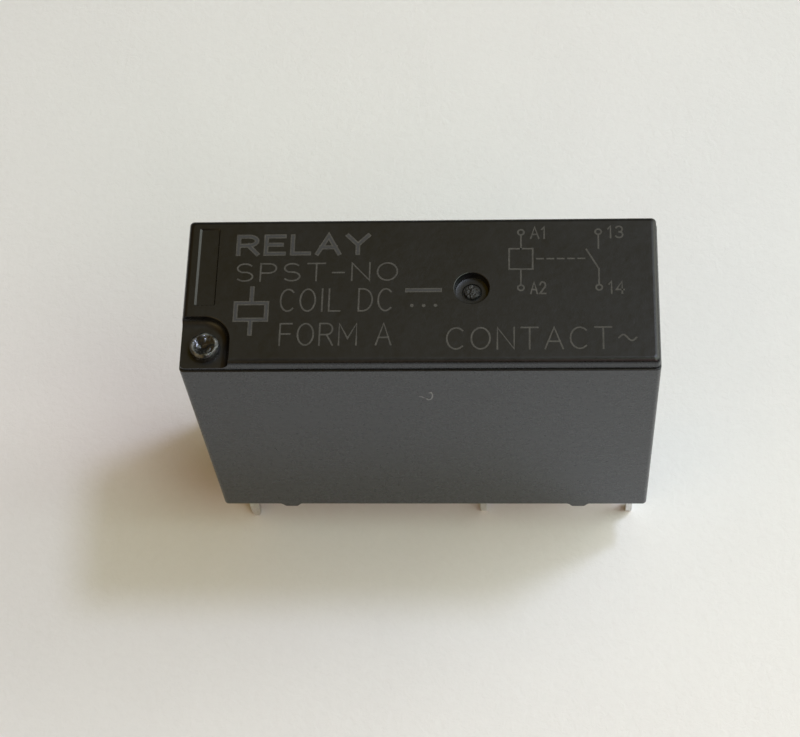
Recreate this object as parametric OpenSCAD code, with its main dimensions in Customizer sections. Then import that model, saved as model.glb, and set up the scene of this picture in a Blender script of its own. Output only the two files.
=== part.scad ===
// Slim sealed power relay with one normally open contact, for a printed circuit board.
// Millimetres. +X runs along the case from the coil pins to the contact pins, +Y is the rear
// side and +Z is up. The origin is under the middle of the case, at the tips of the pins.

/* [Case] */
// Length of the case along X
case_l = 20.3; // [20.2:0.1:21]
// Width of the case along Y
case_w = 7.15; // [7:0.05:7.6]
// Height of the case from its lower rim to the roof
case_h = 14.8; // [14.8:0.1:16]
// Thickness of the four side walls
wall = 0.45; // [0.35:0.05:0.45]
// Thickness of the roof
roof = 0.6; // [0.5:0.05:0.6]
// Height of the step below the roof
lid_h = 0.62; // [0.5:0.02:0.8]
// How far the case above that step is set in at the front
lid_in = 0.08; // [0.04:0.01:0.12]
// How far it is set in at the back and the ends
lid_side = 0.03; // [0.02:0.01:0.08]
// Chamfer round the roof
chamfer = 0.2; // [0.1:0.05:0.35]
// Radius of the upright edges
edge_r = 0.2; // [0.1:0.05:0.4]
// Height of the stand-off feet under the rim
foot_h = 0.3; // [0.2:0.05:0.5]
// Distance of the stand-off feet from the middle along X
foot_x = 6.9; // [6:0.1:7.5]
// Depth of the sunk corner round the vent nib
notch_d = 0.45; // [0.35:0.05:0.5]
// Radius of the vent nib
nib_r = 0.58; // [0.45:0.01:0.6]
// Radius of the recess over the moulding gate
gate_r = 0.76; // [0.6:0.02:0.9]

/* [Pins] */
// Length of the pins below the stand-off feet
pin_drop = 3.2; // [2.5:0.1:4]
// Distance of the coil pins from the middle along X
coil_pin_x = 9.03; // [9:0.01:9.05]
// Distance of the coil pins from the middle along Y
coil_pin_y = 2.54; // [2.5:0.01:2.56]
// Width of a coil pin along X
coil_pin_w = 0.45; // [0.4:0.05:0.45]
// Thickness of a coil pin along Y
coil_pin_t = 0.35; // [0.25:0.05:0.35]
// Distance of the fixed contact's pin from the middle along X
fixed_pin_x = 2.3; // [2.2:0.05:2.35]
// Distance of the common pin from the middle along X
common_pin_x = 9.43; // [9.35:0.01:9.45]
// Distance of the contact pins in front of the middle
contact_pin_y = 2.3; // [2.2:0.05:2.4]
// Width of a contact pin along Y
contact_pin_w = 0.65; // [0.5:0.05:0.8]
// Thickness of the contact terminals
terminal_t = 0.3; // [0.25:0.05:0.3]

/* [Magnet] */
// Distance of the core from the middle, towards the coil pins
core_x = 3.4; // [3.3:0.05:3.45]
// Length of the core's section along X
core_l = 4.2; // [3.8:0.1:4.4]
// Thickness of the core's section along Y
core_w = 2.2; // [2:0.1:2.3]
// Depth of copper wound on the bobbin
winding_t = 1.2; // [0.9:0.05:1.2]
// Thickness of the yoke
yoke_t = 1; // [0.8:0.05:1]
// Height of the pole face over the case rim
pole_h = 11.8; // [11.6:0.1:11.9]
// Thickness of the armature
armature_t = 0.9; // [0.7:0.05:0.9]

/* [Motion] */
// Angle that the armature stands open at rest
open_angle = 3.6; // [3:0.1:3.6]
// Gap left between the armature and the pole when the coil is on
residual = 0.05; // [0.04:0.01:0.08]
// Running clearance round the moving pieces
clear = 0.06; // [0.05:0.01:0.08]

/* [Hidden] */
$fn = 48;
// How far joined shapes run into each other, and how far a cut runs past its solid
eps = 0.01;
past = 1;

// Heights, from the pin tips up
z_rim = pin_drop + foot_h;
z_roof = z_rim + case_h;
z_ceiling = z_roof - roof;
z_sealant = z_rim + 0.3;
z_base = z_sealant + 0.5;
z_floor = z_base + 1.1;
z_yoke = z_floor;
z_bobbin = z_yoke + yoke_t;
z_pole = z_rim + pole_h;
z_hinge = z_pole + residual;

// The space inside the case
cavity_l = case_l - 2 * wall;
cavity_w = case_w - 2 * wall;
cavity_r = 0.15;
base_play = 0.1;
base_l = cavity_l - base_play;
base_w = cavity_w - base_play;

// The sunk corner at the front left of the roof, and the vent nib in it
notch_l = 2.15;
notch_w = 2.32;
notch_r = 1.15;
nib_in_x = 1.09;
nib_in_y = 1.01;
nib_h = 0.25;
nib_sink = 1;

// Other marks that moulding leaves in the roof
gate_x = 2.22;
gate_d = 0.38;
vestige_h = 0.12;
strip_l = 0.9;
strip_w = 3.8;
strip_x = -9.15;
strip_y = 1.18;
strip_d = 0.08;

// Stand-off feet
foot_base = 0.97;
foot_tip = 0.55;

// Rib under the roof, which the armature's nose rests against
stop_x = 2;
stop_t = 0.4;
stop_w = 2.8;

// Bobbin, winding and tape
tube_t = 0.4;
tube_l = core_l + 2 * tube_t;
tube_w = core_w + 2 * tube_t;
flange_l = 8.2;
flange_w = 5.9;
flange_t = 0.6;
head_l = 6.4;
head_w = 4.4;
head_h = 0.8;
z_winding = z_bobbin + flange_t;
z_top_flange = z_pole - head_h - flange_t;
winding_l = tube_l + 2 * winding_t;
winding_w = tube_w + 2 * winding_t;
tape_t = 0.06;
tape_edge = 0.25;
tenon_l = 3.4;
tenon_w = 1.4;

lead_notch_in = 0.2;
lead_notch_y = 1.9;
lead_notch_r = 0.3;

// Bobbin ears, which hold the coil terminals beside the yoke
ear_l = 2.15;
ear_in = 2.3;
ear_overlap = 0.6;
ear_top = z_bobbin + 1.5;
tag_top = ear_top + 1.2;
terminal_slip = 0.04;
wire_r = 0.05;
wrap_r = 0.33;
wrap_turns = 3;
wrap_h = 0.4;
shoulder = 0.2;
shoulder_h = 0.5;
solder_r = 0.4;
solder_h = 0.6;

// Yoke and armature. The hinge line is the yoke's upper outer edge.
yoke_w = 4.4;
hinge_x = -8.6;
yoke_foot_l = 8.2;
pole_chamfer = 0.12;
armature_w = 5.1;
nose_t = 0.6;
nose_root = 0.5;
nose_end = 3.15;
nose_w = 3;

// Hinge spring and the two rivets that hold it on the yoke
hinge_spring_t = 0.15;
hinge_spring_w = 2.6;
yoke_rivet_y = 0.9;
yoke_rivet_r = 0.3;
yoke_rivet_z = z_yoke + 6.4;

// Card between the armature's nose and the contact spring
card_x = 2.9;
card_t = 0.7;
card_w = 4.6;
push_reach = card_x - hinge_x;
card_travel = push_reach * sin(open_angle);
nose_z = z_hinge + card_travel;
card_top = nose_z + nose_t + 0.55;
card_foot_w = 3.4;
card_foot_h = 0.7;

// Contact spring, which turns about the common terminal's tab
spring_t = 0.2;
spring_w = 3.8;
spring_z = z_rim + 8.1;
spring_end = 2.4;
spring_root = 9.27;
pivot_x = 8.95;
contact_x = 4.8;
spring_angle = asin(card_travel / (pivot_x - card_x));
contact_gap = (pivot_x - contact_x) * sin(spring_angle);
rivet_y = 1.1;
rivet_r = 0.3;

// Contact rivets. The gap is a little wider than the spring's travel closes.
contact_r = 0.85;
contact_h = 0.5;
shank_r = 0.45;
moving_dome = 0.12;
fixed_dome = 0.06;
fixed_top = spring_z - contact_h - contact_gap - 0.04;
fixed_tab_z = fixed_top - contact_h - terminal_t;
fixed_tab_end = 5.75;

// Partition between the magnet and the contacts, and the rails and ribs of the base
partition_x = 0.95;
partition_t = 0.5;
z_partition = z_pole - 0.5;
rail_end = 3.7;
rail_y = 2.6;
rail_w = 0.8;
rail_play = 0.1;
rib_from = -6.6;
rib_to = -0.6;
rib_w = 0.6;
fixed_post_end = 3.6;
fixed_post_w = 2.2;
common_post_x = 8.35;
common_post_w = 3.2;

// Terminals of the contacts, over the base
fixed_bend_r = 0.3;
fixed_tab_w = 2.8;
common_bend_r = 0.25;
common_tab_x = 8.4;
common_tab_w = 3.6;
web_w = 1.6;
web_h = 1.2;
web_in = 0.5;

// ---------------------------------------------------------------- shapes

// A rectangle with round corners, centred
module rounded(l, w, r) {
    square([l - 2 * r, w], center = true);
    square([l, w - 2 * r], center = true);
    for (x = [-1, 1], y = [-1, 1])
        translate([x * (l / 2 - r), y * (w / 2 - r)]) circle(r);
}

module slab(l, w, r, z0, z1) {
    translate([0, 0, z0]) linear_extrude(z1 - z0) rounded(l, w, r);
}

// A racetrack: a bar with fully round ends
module track(l, w, z0, z1) {
    slab(l, w, w / 2 - eps, z0, z1);
}

// A box given by its two corners
module block(low, high) {
    translate(low) cube(high - low);
}

// An X-Z outline given a width along Y, centred on Y = y
module plate_xz(points, w, y = 0) {
    translate([0, y + w / 2, 0]) rotate([90, 0, 0]) linear_extrude(w) polygon(points);
}

// A Y-Z outline given a thickness along X, centred on X = x
module plate_yz(points, t, x) {
    translate([x - t / 2, 0, 0]) rotate([90, 0, 90]) linear_extrude(t) polygon(points);
}

// Unit normal, to the left of the way from a to b
function left_of(a, b) = [a[1] - b[1], b[0] - a[0]] / norm(b - a);

// The mitre at point i of an open line, as a vector half a strip thick
function mitre(p, i, half) =
    let (n = len(p) - 1)
    let (m = left_of(p[max(i - 1, 0)], p[max(i, 1)]))
    let (k = left_of(p[min(i, n - 1)], p[min(i + 1, n)]))
    (m + k) * half / (1 + m * k);

// The outline of a strip of thickness t that follows an open line
function strip(p, t) = concat(
    [for (i = [0 : len(p) - 1]) p[i] + mitre(p, i, t / 2)],
    [for (i = [len(p) - 1 : -1 : 0]) p[i] - mitre(p, i, t / 2)]
);

// Points on an arc about c
function arc(c, r, from, to, n = 6) =
    [for (i = [0 : n]) c + r * [cos(from + (to - from) * i / n), sin(from + (to - from) * i / n)]];

// A pin's outline: half width w / 2 about u, with a tapered tip at height 0
function pin_outline(u, w, top) = [
    [u - w * 0.25, 0], [u + w * 0.25, 0],
    [u + w / 2, w * 0.8], [u + w / 2, top],
    [u - w / 2, top], [u - w / 2, w * 0.8]
];

// A tube along a line of points, for a thin wire
function unit(v) = v / norm(v);
function along(p, i) = unit(p[min(i + 1, len(p) - 1)] - p[max(i - 1, 0)]);
function ring(p, i, r, sides) =
    let (t = along(p, i))
    let (u = unit(cross(t, abs(t[2]) > 0.9 ? [1, 0, 0] : [0, 0, 1])))
    let (v = cross(t, u))
    [for (k = [0 : sides - 1]) p[i] + r * (u * cos(360 * k / sides) + v * sin(360 * k / sides))];

module wire(p, r, sides = 8) {
    rings = len(p);
    polyhedron(
        points = [for (i = [0 : rings - 1]) each ring(p, i, r, sides)],
        faces = concat(
            [[for (k = [0 : sides - 1]) k]],
            [for (i = [0 : rings - 2], k = [0 : sides - 1])
                [i * sides + k, (i + 1) * sides + k,
                 (i + 1) * sides + (k + 1) % sides, i * sides + (k + 1) % sides]],
            [[for (k = [sides - 1 : -1 : 0]) (rings - 1) * sides + k]]
        )
    );
}

// ---------------------------------------------------------------- case

module case_outside() {
    lid_l = case_l - 2 * lid_side;
    lid_w = case_w - lid_in - lid_side;
    slab(case_l, case_w, edge_r, z_rim, z_roof - lid_h);
    translate([0, (lid_in - lid_side) / 2, 0]) {
        slab(lid_l, lid_w, edge_r, z_roof - lid_h - eps, z_roof - chamfer);
        hull() {
            slab(lid_l, lid_w, edge_r, z_roof - chamfer - eps, z_roof - chamfer, $fn = 32);
            slab(lid_l - 2 * chamfer, lid_w - 2 * chamfer, edge_r / 2, z_roof - eps, z_roof, $fn = 32);
        }
    }
}

// The sunk corner's plan, grown by g on its inner sides
module notch_plan(g) {
    translate([-case_l / 2, -case_w / 2]) {
        translate([-past, -past]) square([notch_l + g + past, notch_w + g + past - notch_r]);
        translate([-past, -past]) square([notch_l + g + past - notch_r, notch_w + g + past]);
        translate([notch_l + g - notch_r, notch_w + g - notch_r]) circle(notch_r);
    }
}

module feet() {
    for (x = [-1, 1], y = [-1, 1])
        plate_xz([
            [x * foot_x - foot_base / 2, z_rim + eps], [x * foot_x - foot_tip / 2, pin_drop],
            [x * foot_x + foot_tip / 2, pin_drop], [x * foot_x + foot_base / 2, z_rim + eps]
        ], wall, y * (case_w - wall) / 2);
}

module cover() {
    nib_x = -case_l / 2 + nib_in_x;
    nib_y = -case_w / 2 + nib_in_y;
    z_notch = z_roof - notch_d;
    color("#2b2c2e") {
        difference() {
            case_outside();
            difference() {
                slab(cavity_l, cavity_w, cavity_r, z_rim - past, z_ceiling);
                translate([0, 0, z_notch - roof]) linear_extrude(roof) notch_plan(wall);
            }
            translate([0, 0, z_notch]) linear_extrude(past) notch_plan(0);
            translate([gate_x, 0, z_roof - gate_d]) cylinder(r = gate_r, h = past);
            block([strip_x - strip_l / 2, strip_y - strip_w / 2, z_roof - strip_d],
                  [strip_x + strip_l / 2, strip_y + strip_w / 2, z_roof + past]);
        }
        feet();
        translate([gate_x, 0, z_roof - gate_d - eps]) cylinder(r = gate_r / 2, h = vestige_h);
        translate([nib_x, nib_y, z_notch - eps]) {
            cylinder(r = nib_r, h = nib_h);
            // Its domed top is the cap of a sphere whose centre is nib_sink below
            translate([0, 0, nib_h]) intersection() {
                cylinder(r = nib_r, h = nib_h);
                translate([0, 0, -nib_sink]) sphere(norm([nib_sink, nib_r]));
            }
        }
        block([stop_x - stop_t / 2, -stop_w / 2, nose_z + nose_t + clear],
              [stop_x + stop_t / 2, stop_w / 2, z_ceiling + eps]);
    }
}

module pin_slot(x, y, l, w) {
    block([x - l / 2, y - w / 2, z_rim], [x + l / 2, y + w / 2, z_floor + eps]);
}

module base() {
    slip = terminal_slip;
    color("#1f2022") {
        difference() {
            slab(base_l, base_w, cavity_r, z_base, z_floor);
            for (y = [-1, 1])
                pin_slot(-coil_pin_x, y * coil_pin_y, coil_pin_w + slip, coil_pin_t + slip);
            pin_slot(fixed_pin_x, -contact_pin_y, terminal_t + slip, contact_pin_w + slip);
            pin_slot(common_pin_x, -contact_pin_y, terminal_t + slip, contact_pin_w + slip);
        }
        // Ribs that locate the yoke's foot
        for (y = [-1, 1])
            block([rib_from, y * rail_y - rib_w / 2, z_floor - eps],
                  [rib_to, y * rail_y + rib_w / 2, z_bobbin - clear]);
        // Partition and the rails that guide the card
        block([partition_x, -base_w / 2, z_floor - eps],
              [partition_x + partition_t, base_w / 2, z_partition]);
        difference() {
            for (y = [-1, 1])
                block([partition_x + partition_t - eps, y * rail_y - rail_w / 2, z_floor + 5],
                      [rail_end, y * rail_y + rail_w / 2, z_partition]);
            block([card_x - card_t / 2 - rail_play, -card_w / 2 - rail_play, z_floor],
                  [card_x + card_t / 2 + rail_play, card_w / 2 + rail_play, z_pole]);
        }
        // Posts under the tabs of the fixed and common terminals
        block([fixed_pin_x + terminal_t / 2 + slip, -fixed_post_w / 2, z_floor - eps],
              [fixed_post_end, fixed_post_w / 2, fixed_tab_z]);
        block([common_post_x, -common_post_w / 2, z_floor - eps],
              [common_pin_x - terminal_t / 2 - slip, common_post_w / 2, spring_z - clear - terminal_t]);
    }
}

module sealant() {
    color("#3a3836") difference() {
        slab(cavity_l, cavity_w, cavity_r, z_sealant, z_base);
        for (y = [-1, 1])
            pin_slot(-coil_pin_x, y * coil_pin_y, coil_pin_w, coil_pin_t);
        pin_slot(fixed_pin_x, -contact_pin_y, terminal_t, contact_pin_w);
        pin_slot(common_pin_x, -contact_pin_y, terminal_t, contact_pin_w);
    }
}

// ---------------------------------------------------------------- coil

module bobbin() {
    ear_w = flange_w / 2 - ear_in;
    slot_l = coil_pin_w + terminal_slip;
    slot_w = coil_pin_t + terminal_slip;
    color("#d9d3c3") difference() {
        union() {
            translate([-core_x, 0, 0]) {
                slab(flange_l, flange_w, 0.5, z_bobbin, z_winding);
                slab(flange_l, flange_w, 0.5, z_top_flange, z_top_flange + flange_t);
                track(tube_l, tube_w, z_winding - eps, z_top_flange + eps);
            }
            for (y = [-1, 1])
                translate([-core_x - flange_l / 2, y * (ear_in + ear_w / 2), 0])
                    block([-ear_l, -ear_w / 2, z_bobbin], [ear_overlap, ear_w / 2, ear_top]);
        }
        translate([-core_x, 0, 0])
            track(core_l + terminal_slip, core_w + terminal_slip, z_bobbin - past, z_pole);
        for (y = [-1, 1]) {
            block([-coil_pin_x - slot_l / 2, y * coil_pin_y - slot_w / 2, z_rim],
                  [-coil_pin_x + slot_l / 2, y * coil_pin_y + slot_w / 2, z_roof]);
            // Notches that lead the wire out over the flange
            translate([-core_x - flange_l / 2 + lead_notch_in, y * lead_notch_y, z_top_flange - past])
                cylinder(r = lead_notch_r, h = flange_t + 2 * past);
        }
    }
}

module racetrack_ring(outer_l, outer_w, t, z0, z1) {
    translate([-core_x, 0, 0]) difference() {
        track(outer_l, outer_w, z0, z1);
        track(outer_l - 2 * t, outer_w - 2 * t, z0 - past, z1 + past);
    }
}

module coil_winding() {
    color("#b4612f") racetrack_ring(winding_l, winding_w, winding_t, z_winding, z_top_flange);
}

module coil_tape() {
    color("#d8b13c")
        racetrack_ring(winding_l + 2 * tape_t, winding_w + 2 * tape_t, tape_t,
                       z_winding + tape_edge, z_top_flange - tape_edge);
}

// The end of the winding that goes to the coil terminal on side y
function lead_path(y) =
    let (tag = [-coil_pin_x, y * coil_pin_y])
    let (steps = 12 * wrap_turns)
    concat(
        [[-core_x - winding_l / 2 + 0.75, y * (winding_w / 2 - 0.5), z_winding + 0.1],
         [-core_x - winding_l / 2 + 0.1, y * (winding_w / 2 - 0.15), z_winding + 0.3],
         [-core_x - flange_l / 2 - 0.2, y * 2.62, ear_top - 0.1],
         [-core_x - flange_l / 2 - 0.6, y * 2.75, ear_top + 0.08],
         [tag[0] + 0.6, tag[1] + y * 0.27, ear_top + 0.1]],
        [for (i = [0 : steps])
            let (a = 60 + 360 * wrap_turns * i / steps)
            [tag[0] + wrap_r * cos(a), tag[1] + y * wrap_r * sin(a), ear_top + 0.12 + wrap_h * i / steps]]
    );

module coil_lead_start() {
    color("#c4703a") wire(lead_path(-1), wire_r);
}

module coil_lead_end() {
    color("#c4703a") wire(lead_path(1), wire_r);
}

module coil_terminal(y) {
    color("#c9cacb") {
        plate_xz(pin_outline(-coil_pin_x, coil_pin_w, tag_top), coil_pin_t, y * coil_pin_y);
        // The shoulder that stops the terminal on the base
        plate_xz([
            [-coil_pin_x - coil_pin_w / 2 - shoulder, z_floor],
            [-coil_pin_x + coil_pin_w / 2 + shoulder, z_floor],
            [-coil_pin_x + coil_pin_w / 2, z_floor + shoulder_h],
            [-coil_pin_x - coil_pin_w / 2, z_floor + shoulder_h]
        ], coil_pin_t, y * coil_pin_y);
    }
}

module coil_terminal_front() {
    coil_terminal(-1);
}

module coil_terminal_rear() {
    coil_terminal(1);
}

module solder_joints() {
    blob_r = 0.43;
    color("#d7d8d9") for (y = [-1, 1]) difference() {
        translate([-coil_pin_x, y * coil_pin_y, tag_top - solder_h]) intersection() {
            translate([0, 0, solder_h / 3]) sphere(blob_r);
            cylinder(r = solder_r, h = solder_h);
        }
        block([-coil_pin_x - coil_pin_w / 2, y * coil_pin_y - coil_pin_t / 2, z_rim],
              [-coil_pin_x + coil_pin_w / 2, y * coil_pin_y + coil_pin_t / 2, tag_top]);
    }
}

// ---------------------------------------------------------------- magnet

module core() {
    color("#9ea1a4") translate([-core_x, 0, 0]) {
        track(tenon_l, tenon_w, z_yoke, z_bobbin + eps);
        track(core_l, core_w, z_bobbin, z_pole - head_h + eps);
        track(head_l, head_w, z_pole - head_h, z_pole - pole_chamfer);
        hull() {
            track(head_l, head_w, z_pole - pole_chamfer - eps, z_pole - pole_chamfer, $fn = 32);
            track(head_l - 2 * pole_chamfer, head_w - 2 * pole_chamfer, z_pole - eps, z_pole, $fn = 32);
        }
    }
}

module yoke() {
    bend_r = yoke_t;
    color("#a7a9ab") difference() {
        plate_xz(concat(
            [[hinge_x + yoke_foot_l, z_yoke], [hinge_x + yoke_foot_l, z_yoke + yoke_t],
             [hinge_x + yoke_t, z_yoke + yoke_t], [hinge_x + yoke_t, z_pole], [hinge_x, z_pole]],
            arc([hinge_x + bend_r, z_yoke + bend_r], bend_r, 180, 270)
        ), yoke_w);
        translate([-core_x, 0, 0]) track(tenon_l, tenon_w, z_yoke - past, z_bobbin + past);
        yoke_rivet_holes();
    }
}

module yoke_rivet_holes() {
    for (y = [-1, 1])
        translate([hinge_x - past, y * yoke_rivet_y, yoke_rivet_z]) rotate([0, 90, 0])
            cylinder(r = yoke_rivet_r, h = yoke_t + 2 * past);
}

// Turns what is drawn closed to its place with the coil off
module opened() {
    translate([hinge_x, 0, z_hinge]) rotate([0, -open_angle, 0])
        translate([-hinge_x, 0, -z_hinge]) children();
}

module armature() {
    tail = yoke_w / 2;
    wide = armature_w / 2;
    nose = nose_w / 2;
    color("#96999c") opened() {
        translate([0, 0, z_hinge]) linear_extrude(armature_t) polygon([
            [hinge_x, -tail], [hinge_x + 1.4, -tail], [hinge_x + 1.9, -wide], [nose_root - 0.7, -wide],
            [nose_root, -nose], [nose_root, nose], [nose_root - 0.7, wide], [hinge_x + 1.9, wide],
            [hinge_x + 1.4, tail], [hinge_x, tail]
        ]);
        block([nose_root - eps, -nose, z_hinge], [nose_end, nose, z_hinge + nose_t]);
    }
}

module hinge_spring() {
    t = hinge_spring_t;
    // Up the yoke's outer face, out round the armature's end and over its top
    line = concat(
        [[hinge_x - t / 2, yoke_rivet_z - 1], [hinge_x - t / 2, z_pole - 0.9],
         [hinge_x - 0.45, z_pole - 0.1]],
        arc([hinge_x - 0.05, z_hinge + armature_t - 0.25], 0.5, 180, 90, 8),
        [[hinge_x + 0.9, z_hinge + armature_t + 0.22]]
    );
    color("#c39a52") difference() {
        plate_xz(strip(line, t), hinge_spring_w);
        yoke_rivet_holes();
    }
}

module hinge_spring_rivets() {
    head_h = 0.2;
    color("#b9a37a") for (y = [-1, 1])
        translate([hinge_x, y * yoke_rivet_y, yoke_rivet_z]) rotate([0, 90, 0]) {
            translate([0, 0, -hinge_spring_t])
                cylinder(r = yoke_rivet_r, h = hinge_spring_t + yoke_t);
            translate([0, 0, -hinge_spring_t - head_h]) cylinder(r1 = 0.42, r2 = 0.5, h = head_h);
        }
}

// ---------------------------------------------------------------- contacts

module actuator_card() {
    low = spring_z + spring_t + clear;
    window_w = nose_w + 0.3;
    color("#c7b48a") difference() {
        block([card_x - card_t / 2, -card_w / 2, low], [card_x + card_t / 2, card_w / 2, card_top]);
        // The armature's nose goes through this window
        block([card_x - past, -window_w / 2, nose_z - clear],
              [card_x + past, window_w / 2, nose_z + nose_t + clear]);
        // The foot is narrower than the contact spring
        for (y = [-1, 1])
            translate([0, y * (card_foot_w + past) / 2, 0])
                block([card_x - past, -past / 2, low - past], [card_x + past, past / 2, low + card_foot_h]);
        // A pocket that saves material under the window
        block([card_x - past, -0.8, low + 0.9], [card_x + past, 0.8, nose_z - 0.9]);
    }
}

// One side of the contact spring's outline, from its free end to its root
function spring_edge(half) = [
    [spring_end, half * 0.8], [spring_end + 0.3, half], [6.2, half], [7, half * 0.75],
    [8, half * 0.75], [8.4, half], [spring_root, half]
];

module contact_spring() {
    front = spring_edge(-spring_w / 2);
    rear = spring_edge(spring_w / 2);
    last = len(rear) - 1;
    color("#c98a4b") difference() {
        translate([0, 0, spring_z]) linear_extrude(spring_t)
            polygon(concat(front, [for (i = [last : -1 : 0]) rear[i]]));
        translate([contact_x, 0, spring_z - past]) cylinder(r = shank_r, h = 2 * past);
        // The slot that makes the spring bend near its root
        translate([7.5, 0, spring_z - past]) linear_extrude(2 * past) rounded(1.2, 0.8, 0.35);
        for (y = [-1, 1])
            translate([pivot_x, y * rivet_y, spring_z - past])
                cylinder(r = rivet_r + clear, h = 2 * past);
    }
}

module contact_head(r, h, dome) {
    cylinder(r = r, h = h - dome);
    translate([0, 0, h - dome - eps]) intersection() {
        cylinder(r = r, h = dome + past);
        radius = (r * r + dome * dome) / (2 * dome);
        translate([0, 0, dome - radius + eps]) sphere(radius, $fn = 96);
    }
}

// The riveted end of a contact, which spreads to r + 0.2 at its foot
module rivet_end(r, h) {
    cylinder(r1 = r + 0.2, r2 = r + 0.05, h = h);
}

module moving_contact() {
    color("#d8d6cf") translate([contact_x, 0, spring_z]) {
        rotate([180, 0, 0]) contact_head(contact_r, contact_h, moving_dome);
        translate([0, 0, -eps]) cylinder(r = shank_r, h = spring_t + 2 * eps);
        translate([0, 0, spring_t]) rivet_end(shank_r, 0.16);
    }
}

// The low web that joins a contact pin to its upright blade
module terminal_web(x) {
    plate_xz(strip([[x, z_floor], [x, z_floor + web_h]], terminal_t), web_w, -contact_pin_y + web_in);
}

module common_terminal() {
    tab_z = spring_z - clear - terminal_t / 2;
    line = concat(
        [[common_pin_x, z_floor]],
        arc([common_pin_x - common_bend_r, tab_z - common_bend_r], common_bend_r, 0, 90),
        [[common_tab_x, tab_z]]
    );
    color("#c08a4e") difference() {
        union() {
            plate_yz(pin_outline(-contact_pin_y, contact_pin_w, z_floor + eps), terminal_t, common_pin_x);
            plate_xz(strip(line, terminal_t), common_tab_w);
            terminal_web(common_pin_x);
        }
        for (y = [-1, 1])
            translate([pivot_x, y * rivet_y, spring_z - past]) cylinder(r = rivet_r, h = past);
    }
}

module spring_rivets() {
    foot = spring_z - clear - terminal_t;
    head = spring_z + spring_t + clear;
    color("#cfc9b8") for (y = [-1, 1])
        translate([pivot_x, y * rivet_y, 0]) {
            translate([0, 0, foot]) cylinder(r = rivet_r, h = head - foot + eps);
            translate([0, 0, head]) cylinder(r1 = 0.55, r2 = 0.4, h = 0.2);
        }
}

module fixed_terminal() {
    tab_z = fixed_tab_z + terminal_t / 2;
    line = concat(
        [[fixed_pin_x, z_floor]],
        arc([fixed_pin_x + fixed_bend_r, tab_z - fixed_bend_r], fixed_bend_r, 180, 90),
        [[fixed_tab_end, tab_z]]
    );
    color("#c08a4e") difference() {
        union() {
            plate_yz(pin_outline(-contact_pin_y, contact_pin_w, z_floor + eps), terminal_t, fixed_pin_x);
            plate_xz(strip(line, terminal_t), fixed_tab_w);
            terminal_web(fixed_pin_x);
        }
        translate([contact_x, 0, fixed_tab_z - past]) cylinder(r = shank_r, h = 2 * past);
    }
}

module fixed_contact() {
    color("#d8d6cf") translate([contact_x, 0, fixed_tab_z]) {
        translate([0, 0, terminal_t]) contact_head(contact_r, contact_h, fixed_dome);
        cylinder(r = shank_r, h = terminal_t + eps);
        translate([0, 0, eps]) rotate([180, 0, 0]) rivet_end(shank_r, 0.18);
    }
}

cover();
base();
sealant();
bobbin();
coil_winding();
coil_tape();
coil_lead_start();
coil_lead_end();
coil_terminal_front();
coil_terminal_rear();
solder_joints();
core();
yoke();
armature();
hinge_spring();
hinge_spring_rivets();
actuator_card();
contact_spring();
moving_contact();
common_terminal();
spring_rivets();
fixed_terminal();
fixed_contact();
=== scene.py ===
import math

import bmesh
import bpy
from mathutils import Matrix, Vector, noise


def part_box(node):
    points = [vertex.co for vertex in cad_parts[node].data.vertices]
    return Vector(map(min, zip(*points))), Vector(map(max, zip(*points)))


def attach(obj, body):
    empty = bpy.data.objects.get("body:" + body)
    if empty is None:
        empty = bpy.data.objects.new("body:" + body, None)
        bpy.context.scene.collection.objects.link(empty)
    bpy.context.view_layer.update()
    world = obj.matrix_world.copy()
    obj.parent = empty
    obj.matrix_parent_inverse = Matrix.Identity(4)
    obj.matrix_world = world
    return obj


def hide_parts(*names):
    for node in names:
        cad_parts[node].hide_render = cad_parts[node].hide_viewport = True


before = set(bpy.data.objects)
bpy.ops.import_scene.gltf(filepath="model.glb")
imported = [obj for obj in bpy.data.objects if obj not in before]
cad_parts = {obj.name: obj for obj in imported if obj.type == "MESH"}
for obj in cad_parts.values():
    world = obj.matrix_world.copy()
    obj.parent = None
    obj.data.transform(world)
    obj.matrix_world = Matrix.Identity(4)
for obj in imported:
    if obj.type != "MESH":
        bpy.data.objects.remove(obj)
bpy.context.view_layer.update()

# Meshes are drawn in millimetres and scaled to metres once they are finished.
MM = 0.001
SCENE = bpy.context.scene


def box_mm(node):
    low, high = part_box(node)
    return low / MM, high / MM


# ---------------------------------------------------------------- sizes, from the frame

COVER_LOW, COVER_HIGH = box_mm("cover")
SEALANT_LOW, SEALANT_HIGH = box_mm("sealant")
WINDING_LOW, WINDING_HIGH = box_mm("coil_winding")
TAPE_LOW, TAPE_HIGH = box_mm("coil_tape")

SKIN = 0.006                      # how far the drawn case stays inside the CAD case
CASE_L = COVER_HIGH.x - COVER_LOW.x - 2 * SKIN
CASE_W = COVER_HIGH.y - COVER_LOW.y - 2 * SKIN
Z_ROOF = COVER_HIGH.z - SKIN
Z_SEAT = COVER_LOW.z + SKIN / 2
FOOT_H = 0.3
Z_RIM = COVER_LOW.z + FOOT_H
WALL = 0.45
ROOF = 0.6
EDGE_R = 0.2                      # of the case's upright edges
RIM_R = 0.04                      # of the edges round its open end
LID_H = 0.62                      # the top part, which is set in behind a step
LID_IN = 0.08                     # the step at the front
LID_SIDE = 0.03                   # the step at the back and the ends
LID_DRAFT = 0.02
LID_R = 0.25
STEP_R = 0.05                     # of the wall's edge below the step

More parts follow.
